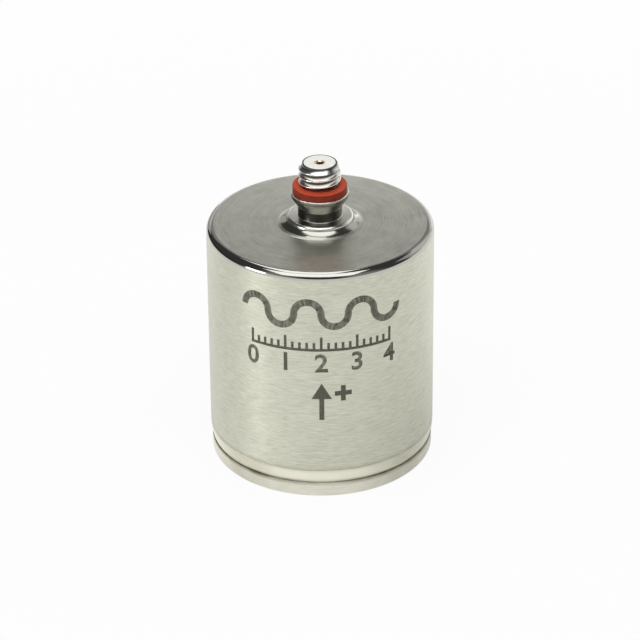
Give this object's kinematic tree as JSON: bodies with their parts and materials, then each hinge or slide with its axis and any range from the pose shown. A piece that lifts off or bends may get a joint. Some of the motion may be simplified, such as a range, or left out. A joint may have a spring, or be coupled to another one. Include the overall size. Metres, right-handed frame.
{
  "type": "vibration sensor",
  "caption": "Round stainless vibration sensor with a welded base, a tapped mounting hole underneath and a threaded coaxial cable connector on top.",
  "frame": {"origin": "centre of the mounting face, on the axis of the case", "axes": "+Z along the axis of the case, from the mounting face to the connector; the marked side faces -Y"},
  "size_m": [0.0254, 0.0254, 0.0355],
  "materials": {
    "case_steel": "satin, turned",
    "weld_steel": "smooth weld bead",
    "connector_steel": "bright, turned",
    "white_insulator": "waxy, fluoropolymer",
    "sealing_glass": "fused",
    "gold_plate": "plated",
    "red_rubber": "smooth silicone",
    "piezo_ceramic": "ground, silvered faces",
    "white_ceramic": "ground",
    "spring_bronze": "rolled",
    "turned_brass": "turned",
    "screw_steel": "turned",
    "board_laminate": "green lacquer",
    "black_moulding": "moulded",
    "resistor_black": "glazed, tinned ends",
    "capacitor_tan": "fired, tinned ends",
    "capacitor_yellow": "moulded",
    "solder": "bright",
    "red_insulation": "extruded",
    "white_insulation": "extruded"
  },
  "bodies": {
    "root": {"case": "case_steel", "base": "case_steel", "closing_weld": "weld_steel", "connector_shell": "connector_steel", "connector_insulator": "white_insulator", "glass_seal": "sealing_glass", "contact_socket": "gold_plate", "sealing_ring": "red_rubber", "lower_piezo_disc": "piezo_ceramic", "flexure_plate": "spring_bronze", "upper_piezo_disc": "piezo_ceramic", "lower_mass_ring": "turned_brass", "upper_mass_ring": "turned_brass", "mass_screws": "screw_steel", "insulating_washer": "white_ceramic", "clamp_washer": "screw_steel", "clamp_screw": "screw_steel", "board_standoffs": "turned_brass", "circuit_board": "board_laminate", "board_screws": "screw_steel", "amplifier_chip": "black_moulding", "input_transistor": "black_moulding", "chip_resistors": "resistor_black", "chip_capacitors": "capacitor_tan", "tantalum_capacitor": "capacitor_yellow", "solder_joints": "solder", "signal_lead": "red_insulation", "output_lead": "white_insulation"}
  },
  "joints": []
}
